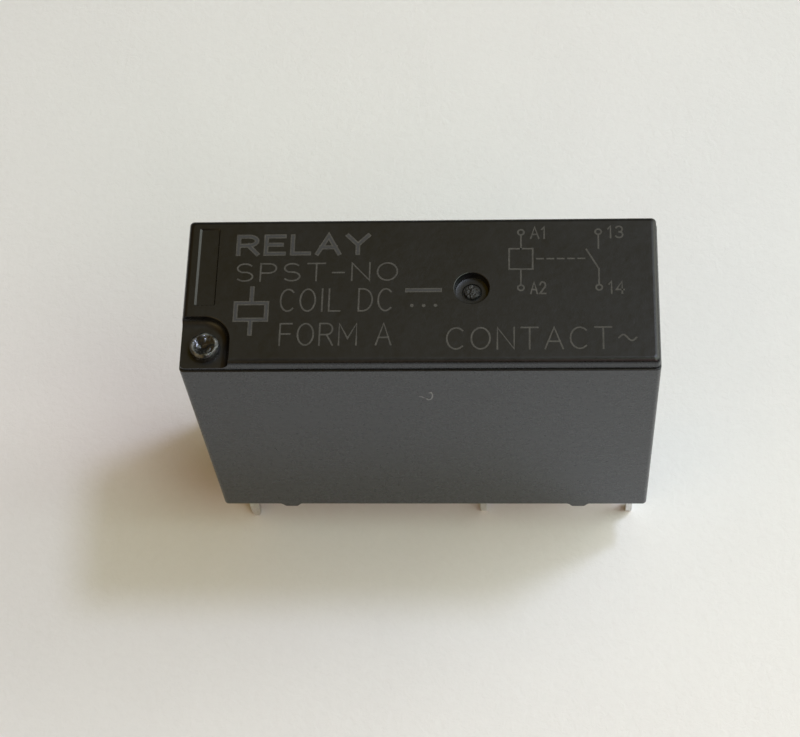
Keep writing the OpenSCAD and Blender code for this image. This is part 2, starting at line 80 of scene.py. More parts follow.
NOTCH_L = 2.15
NOTCH_W = 2.32
NOTCH_R = 1.15
NOTCH_D = 0.45
NOTCH_FILLET = 0.36
Z_NOTCH = Z_ROOF - NOTCH_D
NIB_AT = Vector((COVER_LOW.x + 1.09, COVER_LOW.y + 1.01, Z_NOTCH))
NIB_R = 0.58
GATE_AT = Vector((2.22, 0.05))
GATE_R = 0.74
GATE_D = 0.42
VESTIGE_R = 0.34
VESTIGE_WELL = (0.42, 0.05)       # radius and depth of the well round it
STRIP_AT = Vector((-9.15, 1.18))
STRIP_SIZE = (0.9, 3.8)
STRIP_D = 0.07
STRIP_SLOPE = 0.05
STRIP_LEFT_SLOPE = 0.09
FOOT_X = 6.9
FOOT_TIP = 0.5                    # the foot's length at its tip
FOOT_BASE = 1.06                  # and where it blends into the wall

LEAF_CLAMP = 8.3                  # where the contact leaf's moving part ends, beside its terminal
LEAF_CUT = 0.01                   # the gap between the moving part and the riveted end
LEAF_REACH = 12.0                 # more than the leaf's length to either side


# ---------------------------------------------------------------- mesh helpers

def arc(cx, cy, rx, ry, start, end, steps):
    """Points on an ellipse's arc, angles in degrees."""
    return [
        (cx + rx * math.cos(math.radians(start + (end - start) * i / steps)),
         cy + ry * math.sin(math.radians(start + (end - start) * i / steps)))
        for i in range(steps + 1)
    ]


def round_rect(length, width, radius, steps=6, cx=0.0, cy=0.0):
    x, y = length / 2 - radius, width / 2 - radius
    return (arc(cx + x, cy + y, radius, radius, 0, 90, steps)
            + arc(cx - x, cy + y, radius, radius, 90, 180, steps)
            + arc(cx - x, cy - y, radius, radius, 180, 270, steps)
            + arc(cx + x, cy - y, radius, radius, 270, 360, steps))


def circle(cx, cy, radius, steps):
    return arc(cx, cy, radius, radius, 0, 360 * (steps - 1) / steps, steps - 1)


def new_object(name, verts, faces):
    mesh = bpy.data.meshes.new(name)
    mesh.from_pydata([tuple(v) for v in verts], [], faces)
    mesh.validate()
    obj = bpy.data.objects.new(name, mesh)
    SCENE.collection.objects.link(obj)
    return obj


def stack(name, loops):
    """A closed solid through loops of (outline, height), all with the same number of points."""
    count = len(loops[0][0])
    verts = [(x, y, z) for outline, z in loops for x, y in outline]
    faces = [list(range(count))[::-1], [(len(loops) - 1) * count + k for k in range(count)]]
    for i in range(len(loops) - 1):
        for k in range(count):
            n = (k + 1) % count
            faces.append([i * count + k, i * count + n, (i + 1) * count + n, (i + 1) * count + k])
    return new_object(name, verts, faces)


def grid_faces(rows, columns, closed=False):
    """Faces of a grid of points, row after row. A closed grid joins its last column to its first."""
    faces = []
    for i in range(rows - 1):
        for k in range(columns if closed else columns - 1):
            n = (k + 1) % columns
            faces.append([i * columns + k, i * columns + n, (i + 1) * columns + n, (i + 1) * columns + k])
    return faces


def evaluated(obj):
    """Replaces an object's mesh by what its modifiers make of it."""
    graph = bpy.context.evaluated_depsgraph_get()
    graph.update()
    mesh = bpy.data.meshes.new_from_object(obj.evaluated_get(graph))
    old = obj.data
    obj.modifiers.clear()
    obj.data = mesh
    bpy.data.meshes.remove(old)


def combine(obj, tool, operation):
    """Cuts an object with a tool, or keeps only what both share, and deletes the tool."""
    step = obj.modifiers.new("combine", "BOOLEAN")
    step.object = tool
    step.operation = operation
    step.solver = "EXACT"
    evaluated(obj)
    bpy.data.objects.remove(tool)


def soften(obj, radius, chosen):
    """Rounds the edges for which chosen is true at both ends."""
    mesh = bmesh.new()
    mesh.from_mesh(obj.data)
    sharp = [
        e for e in mesh.edges
        if chosen(e.verts[0].co) and chosen(e.verts[1].co) and e.calc_face_angle(0) > math.radians(30)
    ]
    bmesh.ops.bevel(mesh, geom=sharp, offset=radius, segments=4, profile=0.5,
                    affect="EDGES", clamp_overlap=True)
    mesh.to_mesh(obj.data)
    mesh.free()


def smooth(obj):
    """Smooth shading, with every edge over 25 degrees kept sharp."""
    obj.data.shade_smooth()
    obj.data.set_sharp_from_angle(angle=math.radians(25))
    step = obj.modifiers.new("normals", "WEIGHTED_NORMAL")
    step.weight = 80
    step.keep_sharp = True


def place(obj, material, replaced=(), body="root"):
    """Scales a finished piece to metres, gives it its material and puts it on its body."""
    obj.data.transform(Matrix.Scale(MM, 4))
    obj.data.materials.clear()
    obj.data.materials.append(material)
    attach(obj, body)
    if replaced:
        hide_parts(*replaced)


# ---------------------------------------------------------------- material helpers

def set_stops(node, stops):
    """Fills a colour ramp with (position, colour or grey) stops."""
    ends = node.color_ramp.elements
    while len(ends) < len(stops):
        ends.new(0.5)
    for end, (position, colour) in zip(ends, stops):
        end.position = position
        grey = isinstance(colour, (int, float))
        end.color = (colour, colour, colour, 1) if grey else (*colour, 1)


class Shader:
    """A node material that is built up step by step."""

    def __init__(self, name, roughness=0.5, metallic=0.0, ior=1.5):
        self.material = bpy.data.materials.new(name)
        self.material.use_nodes = True
        self.nodes = self.material.node_tree.nodes
        self.links = self.material.node_tree.links
        self.bsdf = self.nodes["Principled BSDF"]
        self.bsdf.inputs["Roughness"].default_value = roughness
        self.bsdf.inputs["Metallic"].default_value = metallic
        self.bsdf.inputs["IOR"].default_value = ior
        self.coords = self.nodes.new("ShaderNodeTexCoord")
        self.normal = None

    def scaled(self, stretch=(1, 1, 1)):
        """Object coordinates in millimetres, stretched."""
        step = self.nodes.new("ShaderNodeMapping")
        step.inputs["Scale"].default_value = [s / MM for s in stretch]
        self.links.new(self.coords.outputs["Object"], step.inputs["Vector"])
        return step.outputs["Vector"]

    def noise(self, scale, detail=4.0, roughness=0.55, stretch=(1, 1, 1), distortion=0.0):
        """Noise with about scale features in each millimetre."""
        step = self.nodes.new("ShaderNodeTexNoise")
        step.inputs["Scale"].default_value = scale
        step.inputs["Detail"].default_value = detail
        step.inputs["Roughness"].default_value = roughness
        step.inputs["Distortion"].default_value = distortion
        self.links.new(self.scaled(stretch), step.inputs["Vector"])
        return step.outputs["Fac"]

    def cells(self, scale):
        """Distance to the nearest of a scatter of points, about scale of them in each millimetre."""
        step = self.nodes.new("ShaderNodeTexVoronoi")
        step.inputs["Scale"].default_value = scale
        self.links.new(self.scaled(), step.inputs["Vector"])
        return step.outputs["Distance"]

    def ramp(self, value, stops):
        """A colour ramp over value. Stops are (position, colour or grey)."""
        step = self.nodes.new("ShaderNodeValToRGB")
        set_stops(step, stops)
        self.links.new(value, step.inputs["Fac"])
        return step.outputs["Color"]

    def remap(self, value, low, high, from_low=0.3, from_high=0.7):
        """Stretches value's usual range, or a given one, to run from low to high."""
        step = self.nodes.new("ShaderNodeMapRange")
        step.inputs["From Min"].default_value = from_low
        step.inputs["From Max"].default_value = from_high
        step.inputs["To Min"].default_value = low
        step.inputs["To Max"].default_value = high
        self.links.new(value, step.inputs["Value"])
        return step.outputs["Result"]

    def mix(self, factor, a, b, mode="MIX"):
        step = self.nodes.new("ShaderNodeMix")
        step.data_type = "RGBA"
        step.blend_type = mode
        for name, value in (("Factor", factor), ("A", a), ("B", b)):
            socket = step.inputs[name]
            if isinstance(value, bpy.types.NodeSocket):
                self.links.new(value, socket)
            elif isinstance(value, (int, float)):
                socket.default_value = value
            else:
                socket.default_value = (*value, 1)
        return step.outputs["Result"]

    def math(self, operation, a, b=0.0):
        step = self.nodes.new("ShaderNodeMath")
        step.operation = operation
        for socket, value in zip(step.inputs, (a, b)):
            if isinstance(value, bpy.types.NodeSocket):
                self.links.new(value, socket)
            else:
                socket.default_value = value
        return step.outputs["Value"]

    def part_of(self, output, axis):
        """One axis of the object's coordinates or of its normal."""
        step = self.nodes.new("ShaderNodeSeparateXYZ")
        self.links.new(self.coords.outputs[output], step.inputs["Vector"])
        return step.outputs[axis]

    def away_from(self, point_mm):
        """Distance in millimetres from the upright line through a point."""
        step = self.nodes.new("ShaderNodeVectorMath")
        step.operation = "DISTANCE"
        self.links.new(self.scaled((1, 1, 0)), step.inputs[0])
        step.inputs[1].default_value = (point_mm.x, point_mm.y, 0)
        return step.outputs["Value"]

    def colour(self, value):
        self.links.new(value, self.bsdf.inputs["Base Color"])

    def rough(self, value):
        self.links.new(value, self.bsdf.inputs["Roughness"])

    def bump(self, height, depth_mm):
        """Adds a relief of this depth to those that the material has already."""
        step = self.nodes.new("ShaderNodeBump")
        step.inputs["Distance"].default_value = depth_mm * MM
        step.inputs["Strength"].default_value = 1.0
        self.links.new(height, step.inputs["Height"])
        if self.normal is not None:
            self.links.new(self.normal, step.inputs["Normal"])
        self.normal = step.outputs["Normal"]
        self.links.new(self.normal, self.bsdf.inputs["Normal"])


# ---------------------------------------------------------------- materials

def case_material():
    """Black moulding: satin on the roof, a little glossier on the sides, with a fine spark-eroded grain and
    a painted bluish sheen in the reflections of its sides.
    """
    s = Shader("case_plastic", ior=1.5)
    up = s.math("ABSOLUTE", s.part_of("Normal", "Z"))
    broad = s.noise(0.35, 3)
    mottle = s.noise(5, 5, 0.65)
    speck = s.noise(38, 2, 0.6)
    base = s.mix(s.remap(broad, 0, 1), (0.0036, 0.0036, 0.0036), (0.0054, 0.0054, 0.0054))
    tint = s.mix(s.remap(mottle, 0, 1), (0.82, 0.82, 0.82), (1.18, 1.18, 1.17))
    base = s.mix(1.0, base, tint, "MULTIPLY")
    flecks = s.ramp(speck, [(0.66, 1.0), (0.78, 2.2)])
    s.colour(s.mix(1.0, base, flecks, "MULTIPLY"))
    worn = s.math("ADD", s.remap(mottle, -0.03, 0.03), s.remap(broad, -0.02, 0.02))
    s.rough(s.math("ADD", worn, s.remap(up, 0.27, 0.38, 0.6, 0.95)))
    # Painted sheen: reflections on the upright sides are tinted blue, and those on the roof a little warm.
    painted_sheen_tint = s.mix(s.remap(up, 0, 1, 0.25, 0.7), (0.85, 0.96, 1.15), (1.0, 1.0, 0.96))
    s.links.new(painted_sheen_tint, s.bsdf.inputs["Specular Tint"])
    s.bump(s.noise(22, 3, 0.7), 0.004)
    s.bump(s.noise(2.2, 3, 0.5), 0.008)
    return s.material


def nib_material():
    """Fused plastic, cloudy, with a painted highlight: a pale ring round its lip, broken into patches."""
    s = Shader("fused_plastic", ior=1.52)
    swirl = s.noise(3.2, 4, 0.6, distortion=1.2)
    base = s.ramp(swirl, [
        (0.3, (0.007, 0.007, 0.007)),
        (0.55, (0.014, 0.014, 0.013)),
        (0.72, (0.07, 0.071, 0.067)),
    ])
    # Painted highlight: a pale grey ring at the lip's radius, broken up by noise, stands in for the light
    # caught by the lip.
    lip = s.ramp(s.away_from(NIB_AT), [(0.44, 0.0), (0.51, 1.0), (0.57, 0.25), (0.62, 0.0)])
    broken = s.ramp(s.noise(2.6, 3, 0.6), [(0.42, 0.05), (0.58, 1.0)])
    s.colour(s.mix(s.math("MULTIPLY", lip, broken), base, (0.15, 0.155, 0.145)))
    s.rough(s.remap(s.noise(3, 2), 0.14, 0.26))
    s.bump(s.noise(3.2, 2, 0.5, distortion=0.8), 0.02)
    return s.material


def vestige_material():
    """Torn plastic, pale where it stretched."""
    s = Shader("torn_plastic", ior=1.5)
    grain = s.noise(9, 4, 0.7)
    s.colour(s.ramp(grain, [
        (0.48, (0.012, 0.012, 0.011)),
        (0.62, (0.04, 0.039, 0.036)),
        (0.74, (0.16, 0.155, 0.14)),
    ]))
    s.rough(s.remap(grain, 0.35, 0.7))
    s.bump(grain, 0.04)
    return s.material


def marking_material():
    """Plastic that a laser has bleached."""
    s = Shader("laser_marking", ior=1.45)
    dots = s.noise(20, 3, 0.7)
    streak = s.noise(2.5, 2)
    base = s.ramp(dots, [(0.32, (0.038, 0.0365, 0.031)), (0.68, (0.080, 0.077, 0.067))])
    tint = s.mix(s.remap(streak, 0, 1), (0.75, 0.75, 0.75), (1.15, 1.15, 1.15))
    s.colour(s.mix(1.0, base, tint, "MULTIPLY"))
    s.rough(s.remap(dots, 0.5, 0.7))
    s.bump(dots, 0.006)
    return s.material


def scuff_material():
    """Plastic whitened by a scratch."""
    s = Shader("scuffed_plastic", ior=1.45)
    grain = s.noise(30, 3, 0.7)
    s.colour(s.ramp(grain, [(0.35, (0.08, 0.09, 0.10)), (0.65, (0.34, 0.36, 0.39))]))
    s.rough(s.remap(grain, 0.5, 0.75))
    s.bump(grain, 0.004)
    return s.material


def sealing_material():
    """Dark epoxy: cloudy, glossy and gently dimpled."""
    s = Shader("sealing_resin", ior=1.55)
    cloud = s.noise(0.9, 4, distortion=0.6)
    s.colour(s.ramp(cloud, [(0.3, (0.020, 0.019, 0.018)), (0.7, (0.042, 0.039, 0.036))]))
    s.rough(s.remap(s.noise(2.4, 3), 0.12, 0.3))
    s.bump(s.noise(1.1, 2), 0.05)
    s.bump(s.math("SUBTRACT", 1.0, s.ramp(s.cells(0.8), [(0.0, 0.0), (0.12, 1.0)])), 0.015)
    return s.material


def glass_filled_material():
    """Black moulding with short pale glass fibres in it."""
    s = Shader("base_plastic", ior=1.5)
    fibres = s.noise(9, 4, 0.7, stretch=(1, 0.25, 1))
    cloud = s.noise(0.6, 3)
    base = s.mix(s.remap(cloud, 0, 1), (0.022, 0.022, 0.024), (0.034, 0.034, 0.036))
    s.colour(s.mix(1.0, base, s.ramp(fibres, [(0.55, 1.0), (0.75, 1.9)]), "MULTIPLY"))
    s.rough(s.remap(fibres, 0.42, 0.62))
    s.bump(fibres, 0.008)
    return s.material


def natural_plastic(name, dark, light, roughness):
    """Uncoloured moulded plastic: cloudy, with flow lines and a fine grain."""
    s = Shader(name, ior=1.52)
    flow = s.noise(0.5, 4, 0.5, stretch=(1, 1, 0.3), distortion=1.0)
    grain = s.noise(24, 2)
    base = s.mix(s.remap(flow, 0, 1), dark, light)
    specks = s.ramp(s.noise(7, 2), [(0.25, 0.72), (0.34, 1.0)])
    s.colour(s.mix(1.0, base, specks, "MULTIPLY"))
    s.rough(s.remap(grain, roughness - 0.06, roughness + 0.08))
    s.bump(grain, 0.005)
    s.bump(flow, 0.012)
    s.bsdf.inputs["Subsurface Weight"].default_value = 0.12
    s.bsdf.inputs["Subsurface Radius"].default_value = (0.0006, 0.0004, 0.0002)
    return s.material


def metal(name, dark, light, roughness, stretch, stain, lines=18.0):
    """Plated or rolled metal: cloudy tone, stains, small pits and a fine grain, which stretch draws out."""
    s = Shader(name, metallic=1.0)
    cloud = s.noise(1.1, 4, 0.6)
    drawn = s.noise(lines, 3, 0.65, stretch=stretch)
    base = s.mix(s.remap(cloud, 0, 1), dark, light)
    base = s.mix(s.ramp(s.noise(2.3, 4, 0.7), [(0.56, 0.0), (0.72, 0.55)]), base, stain)
    s.colour(s.mix(1.0, base, s.ramp(drawn, [(0.3, 0.86), (0.7, 1.0)]), "MULTIPLY"))
    s.rough(s.math("ADD", s.remap(drawn, -0.06, 0.08), s.remap(cloud, roughness - 0.05, roughness + 0.08)))
    s.bump(drawn, 0.004)
    s.bump(s.math("SUBTRACT", 1.0, s.ramp(s.cells(5), [(0.0, 0.0), (0.1, 1.0)])), 0.004)
    return s.material


def enamel_wire_material():
    """Copper wire under a clear coat of enamel."""
    s = Shader("magnet_wire", metallic=0.75, roughness=0.3)
    tone = s.noise(1.6, 3)
    turns = s.noise(30, 2, stretch=(0.1, 0.1, 1))
    base = s.mix(s.remap(tone, 0, 1), (0.42, 0.13, 0.045), (0.62, 0.24, 0.09))
    s.colour(s.mix(1.0, base, s.ramp(turns, [(0.3, 0.75), (0.7, 1.0)]), "MULTIPLY"))
    s.rough(s.remap(tone, 0.22, 0.36))
    s.bsdf.inputs["Coat Weight"].default_value = 0.8
    s.bsdf.inputs["Coat Roughness"].default_value = 0.12
    return s.material


def tape_material():
    """Amber film, with slight waves and fine lines round the coil."""
    s = Shader("coil_tape", ior=1.57)
    film = s.noise(0.8, 3, distortion=0.5)
    s.colour(s.ramp(film, [(0.3, (0.50, 0.30, 0.035)), (0.7, (0.66, 0.44, 0.06))]))
    s.rough(s.remap(s.noise(3, 3), 0.16, 0.32))
    s.bump(s.noise(1.4, 3), 0.03)
    s.bump(s.noise(16, 2, stretch=(0.15, 0.15, 1)), 0.006)
    return s.material


def paper_material():
    """White paper with a faint tooth."""
    s = Shader("paper", roughness=0.85)
    fibres = s.noise(2.4, 5, 0.7, distortion=0.4)
    cloud = s.noise(0.12, 3)
    base = s.mix(s.remap(cloud, 0, 1), (0.800, 0.797, 0.790), (0.822, 0.820, 0.812))
    s.colour(s.mix(1.0, base, s.ramp(fibres, [(0.3, 0.975), (0.7, 1.0)]), "MULTIPLY"))
    s.bump(fibres, 0.03)
    return s.material


# ---------------------------------------------------------------- the case

def case_loops():
    """The case's outlines from the bottom up: wall, step and the rounded lid above it."""
    z_step = Z_ROOF - LID_H
    rounded = 0.6                 # the share of the step that the wall's rounded edge takes
    ledge = 0.92                  # the share where the ledge turns up into the lid
    # Each is (share of the step, further inset all round, height)
    stages = [(0, 0, Z_SEAT - 0.2), (0, 0, z_step - STEP_R)]
    for a in map(math.radians, (22, 45, 68, 90)):
        stages.append((rounded * (1 - math.cos(a)), 0, z_step - STEP_R * (1 - math.sin(a))))
    stages += [(ledge, 0, z_step), (1, 0, z_step + 0.01)]
    for a in map(math.radians, range(0, 91, 9)):
        inset = LID_DRAFT + LID_R * (1 - math.cos(a))
        stages.append((1, inset, Z_ROOF - LID_R * (1 - math.sin(a))))
    loops = []
    for share, inset, z in stages:
        length = CASE_L - 2 * (share * LID_SIDE + inset)
        width = CASE_W - share * (LID_IN + LID_SIDE) - 2 * inset
        back = share * (LID_IN - LID_SIDE) / 2
        loops.append((round_rect(length, width, EDGE_R - inset * 0.3, 6, 0, back), z))
    return loops


def notch_outline(grow):
    """The sunk corner seen from above, running 1 mm past the case on its outer sides."""
    x0, y0 = -CASE_L / 2, -CASE_W / 2
    x1, y1 = x0 + NOTCH_L + grow, y0 + NOTCH_W + grow
    r = NOTCH_R + grow
    corner = arc(x1 - r, y1 - r, r, r, 0, 90, 20)
    return [(x0 - 1, y0 - 1), (x1, y0 - 1)] + corner + [(x0 - 1, y1)]


def notch_tool():
    """Cuts the sunk corner, with a hollow curve round its floor and a softened upper edge."""
    loops = []
    for a in map(math.radians, (0, 18, 36, 54, 72, 90)):
        outline = notch_outline(-NOTCH_FILLET * (1 - math.sin(a)))
        loops.append((outline, Z_NOTCH + NOTCH_FILLET * (1 - math.cos(a))))
    for grow, above_roof in ((0, -0.05), (0.012, -0.02), (0.04, 0.001), (0.04, 1)):
        loops.append((notch_outline(grow), Z_ROOF + above_roof))
    return stack("notch", loops)


def gate_tool():
    """Cuts the round recess over the moulding gate, with a well in its floor and softened edges."""
    well_r, well_d = VESTIGE_WELL
    # Each is (radius, height from the roof): the well, the floor's rounded corner and the mouth
    profile = [
        (well_r - 0.02, -GATE_D - well_d),
        (well_r, -GATE_D - 0.01),
        (well_r + 0.01, -GATE_D),
        (GATE_R - 0.09, -GATE_D + 0.001),
        (GATE_R - 0.04, -GATE_D + 0.015),
        (GATE_R - 0.015, -GATE_D + 0.06),
        (GATE_R, -0.035),
        (GATE_R + 0.012, -0.012),
        (GATE_R + 0.035, 0.001),
        (GATE_R + 0.035, 0.5),
    ]
    return stack("gate", [(circle(GATE_AT.x, GATE_AT.y, r, 64), Z_ROOF + z) for r, z in profile])


def strip_tool():
    """Cuts the shallow strip; its left wall is the gentle one."""
    length, width = STRIP_SIZE
    floor_l = length - STRIP_SLOPE - STRIP_LEFT_SLOPE
    shift = (STRIP_LEFT_SLOPE - STRIP_SLOPE) / 2
    floor = round_rect(floor_l, width - 2 * STRIP_SLOPE, 0.03, 4, STRIP_AT.x + shift, STRIP_AT.y)
    mouth = round_rect(length, width, 0.06, 4, STRIP_AT.x, STRIP_AT.y)
    return stack("strip", [(floor, Z_ROOF - STRIP_D), (mouth, Z_ROOF + 0.001), (mouth, Z_ROOF + 0.5)])


def rim_tool():
    """Everything below the rim but the stand-off feet, which blend into the wall."""
    outline = [(-CASE_L, Z_SEAT - 1), (CASE_L, Z_SEAT - 1), (CASE_L, Z_RIM)]
    for x in (FOOT_X, -FOOT_X):
        for side in (1, -1):
            for i in range(13):
                t = i / 12 if side == 1 else 1 - i / 12
                ease = t * t * (3 - 2 * t)
                out = FOOT_BASE / 2 + (FOOT_TIP - FOOT_BASE) / 2 * t
                outline.append((x + side * out, Z_RIM + (Z_SEAT - Z_RIM) * ease))
    outline.append((-CASE_L, Z_RIM))
    tool = stack("rim", [(outline, -CASE_W), (outline, CASE_W)])
    tool.data.transform(Matrix.Rotation(math.radians(90), 4, "X"))
    return tool


def make_cover():
    """The case: outer form, less its cavity, the cuts in its roof and all but the feet at its rim."""
    body = stack("case", case_loops())
    inner = round_rect(CASE_L - 2 * WALL, CASE_W - 2 * WALL, 0.15)
    cavity = stack("cavity", [(inner, Z_RIM - 1), (inner, Z_ROOF - ROOF)])
    under_notch = notch_outline(WALL)
    keep = stack("keep", [(under_notch, Z_NOTCH - ROOF), (under_notch, Z_ROOF)])
    combine(cavity, keep, "DIFFERENCE")
    for tool in (rim_tool(), cavity, notch_tool(), gate_tool(), strip_tool()):
        combine(body, tool, "DIFFERENCE")
    half_l, half_w = CASE_L / 2, CASE_W / 2
    level = 0.002                 # how near a point's height has to be to count as the same
    outer_edge = 0.07             # how near it has to be to the outer walls at the rim
    notch_edge = 0.17             # and at the notch, where the lid is set in and rounded
    notch_edge_r = 0.1

    def at_rim(p):
        return p.z < Z_RIM + level and (half_l - abs(p.x) < outer_edge or half_w - abs(p.y) < outer_edge)

    def at_notch(p):
        return abs(p.z - Z_NOTCH) < level and min(p.x + half_l, p.y + half_w) < notch_edge

    soften(body, RIM_R, at_rim)
    soften(body, notch_edge_r, at_notch)
    body.name = "cover_shell"
    smooth(body)
    place(body, case_material(), ["cover"])


def lumpy(point, scale, amount, seed):
    """Rough, many-sized noise round zero."""
    return amount * noise.fractal(Vector(point) * scale + Vector((seed, 0, 0)), 0.8, 2.0, 4)


def make_nib():
    """The vent nib, melted shut: a slumped dome with a raised lip, a dent and a few smooth folds."""
    rings, sides = 40, 120
    wall_share = 0.3              # the share of the rings that draw the flared wall under the dome
    sunk, wall_rise, flare = 0.01, 0.32, 0.05
    dome_r, dome_z, dome_h, fullness = NIB_R + 0.03, 0.31, 0.08, 0.6
    folds = ((2.4, 0.075, (5.3, 1.2, 0)), (5.5, 0.030, (1.7, 8.1, 2)))    # (scale, height, seed)
    lip_r, lip_w, lip_h, lip_turn = 0.50, 0.06, 0.055, 0.8
    dent_x, dent_y, dent_d, dent_spread = -0.12, -0.02, 0.14, 0.05
    ceiling = NOTCH_D - 0.02
    plain_rings = 10              # over these rings the folds fade in
    verts = []
    for i in range(rings):
        t = i / rings
        if t < wall_share:
            r = dome_r + flare * (1 - t / wall_share) ** 2
            z = wall_rise * t / wall_share - sunk
        else:
            a = (t - wall_share) / (1 - wall_share) * math.pi / 2
            r, z = dome_r * math.cos(a) ** fullness, dome_z + dome_h * math.sin(a)
        share = min(1.0, i / plain_rings)
        for k in range(sides):
            a = 2 * math.pi * k / sides
            spot = Vector((math.cos(a) * r, math.sin(a) * r, z))
            fold = sum(height * noise.noise(spot * scale + Vector(seed)) for scale, height, seed in folds)
            # The lip is highest on the side away from lip_turn
            lip = lip_h * math.exp(-((r - lip_r) / lip_w) ** 2) * (0.65 - 0.35 * math.cos(a - lip_turn))
            from_dent = (spot.x - dent_x) ** 2 + (spot.y - dent_y) ** 2
            dent = -dent_d * math.exp(-from_dent / dent_spread)
            reach = r * (1 + 0.35 * fold * share)
            rise = min(z + (fold + lip + dent) * share, ceiling)
            verts.append((NIB_AT.x + math.cos(a) * reach, NIB_AT.y + math.sin(a) * reach, NIB_AT.z + rise))
    faces = grid_faces(rings, sides, True)
    faces.append([(rings - 1) * sides + k for k in range(sides)])
    faces.append(list(range(sides))[::-1])
    nib = new_object("vent_nib", verts, faces)
    nib.data.shade_smooth()
    place(nib, nib_material(), ["cover"])


def make_vestige():
    """The torn stub that the moulding gate leaves in its recess."""
    rings, sides = 14, 56
    sunk, wall_h, crown, taper = 0.01, 0.13, 0.02, 0.14
    foot_share = 1.1              # how much wider the stub's foot is than VESTIGE_R
    shoulder = 0.34               # the share of the rings that draw its wall; the rest close its top
    plain_share = 0.3             # the share of them that isn't torn
    well_floor = Z_ROOF - GATE_D - VESTIGE_WELL[1]
    verts = []
    for i in range(rings):
        t = i / (rings - 1)
        up = min(t * 3, 1)
        closing = 1 if t < shoulder else 1 - (t - shoulder) / (2 * shoulder)
        r = VESTIGE_R * (foot_share - taper * up) * closing
        z = -sunk + wall_h * up + crown * t
        for k in range(sides):
            a = 2 * math.pi * k / sides
            spot = (math.cos(a) * r, math.sin(a) * r, z)
            torn = lumpy(spot, 4.5, 0.10, 5.2) + lumpy(spot, 19, 0.012, 1.7)
            reach = r * (1 + 0.5 * lumpy(spot, 4, 0.25, 2.2))
            height = well_floor + z + (torn if t > plain_share else 0)
            verts.append((GATE_AT.x + math.cos(a) * reach, GATE_AT.y + math.sin(a) * reach, height))
    faces = grid_faces(rings, sides, True)
    faces.append([(rings - 1) * sides + k for k in range(sides)])
    faces.append(list(range(sides))[::-1])
    stub = new_object("gate_vestige", verts, faces)
    stub.data.shade_smooth()
    place(stub, vestige_material(), ["cover"])


# ---------------------------------------------------------------- roof markings

# Each letter is its width and its strokes, on a body one unit high.
LETTERS = {
    "A": (0.72, [[(0, 0), (0.36, 1), (0.72, 0)], [(0.12, 0.34), (0.60, 0.34)]]),
    "C": (0.70, [arc(0.38, 0.5, 0.38, 0.5, 48, 312, 14)]),
    "D": (0.68, [[(0, 0), (0, 1), (0.2, 1)] + arc(0.2, 0.5, 0.48, 0.5, 80, -80, 12) + [(0.2, 0), (0, 0)]]),
    "E": (0.60, [[(0.6, 1), (0, 1), (0, 0), (0.6, 0)], [(0, 0.52), (0.52, 0.52)]]),
    "F": (0.56, [[(0.56, 1), (0, 1), (0, 0)], [(0, 0.52), (0.48, 0.52)]]),
    "I": (0.10, [[(0.05, 0), (0.05, 1)]]),
    "L": (0.56, [[(0, 1), (0, 0), (0.56, 0)]]),
    "M": (0.84, [[(0, 0), (0, 1), (0.42, 0.3), (0.84, 1), (0.84, 0)]]),
    "N": (0.68, [[(0, 0), (0, 1), (0.68, 0), (0.68, 1)]]),
    "O": (0.76, [arc(0.38, 0.5, 0.38, 0.5, 0, 360, 24)]),
    "P": (0.60, [[(0, 0), (0, 1)],
                 [(0, 1), (0.32, 1)] + arc(0.32, 0.73, 0.28, 0.27, 75, -75, 8) + [(0.32, 0.46), (0, 0.46)]]),
    "R": (0.64, [[(0, 0), (0, 1)],
                 [(0, 1), (0.34, 1)] + arc(0.34, 0.74, 0.28, 0.26, 75, -75, 8) + [(0.34, 0.48), (0, 0.48)],
                 [(0.34, 0.48), (0.64, 0)]]),
    "S": (0.62, [arc(0.31, 0.745, 0.29, 0.255, 35, 245, 9) + arc(0.31, 0.255, 0.31, 0.255, 75, -145, 10)]),
    "T": (0.66, [[(0, 1), (0.66, 1)], [(0.33, 1), (0.33, 0)]]),
    "Y": (0.68, [[(0, 1), (0.34, 0.48), (0.68, 1)], [(0.34, 0.48), (0.34, 0)]]),
    "1": (0.30, [[(0, 0.78), (0.2, 1), (0.2, 0)]]),
    "2": (0.62, [arc(0.31, 0.72, 0.3, 0.28, 170, -30, 10) + [(0, 0), (0.62, 0)]]),
    "3": (0.60, [arc(0.3, 0.745, 0.27, 0.255, 150, -85, 9), arc(0.3, 0.26, 0.3, 0.26, 85, -150, 10)]),
    "4": (0.66, [[(0.5, 0), (0.5, 1), (0, 0.3), (0.66, 0.3)]]),
    "-": (0.44, [[(0, 0.46), (0.44, 0.46)]]),
    "~": (0.70, [[(0.7 * i / 12, 0.5 + 0.14 * math.sin(2 * math.pi * i / 12)) for i in range(13)]]),
    " ": (0.34, []),
}


def written(text, x, y, length, height):
    """The strokes of a line of text from (x, y), spread over a length."""
    gap = 0.30                    # between letters, as a share of their height before stretching
    widths = [LETTERS[c][0] for c in text]
    stretch = length / (sum(widths) + gap * (len(text) - 1))
    strokes = []
    for c, width in zip(text, widths):
        for line in LETTERS[c][1]:
            strokes.append([(x + px * stretch, y + py * height) for px, py in line])
        x += (width + gap) * stretch
    return strokes


def rectangle(x0, y0, x1, y1):
    return [(x0, y0), (x1, y0), (x1, y1), (x0, y1), (x0, y0)]


def ring(cx, cy, r, steps):
    return arc(cx, cy, r, r, 0, 360, steps)


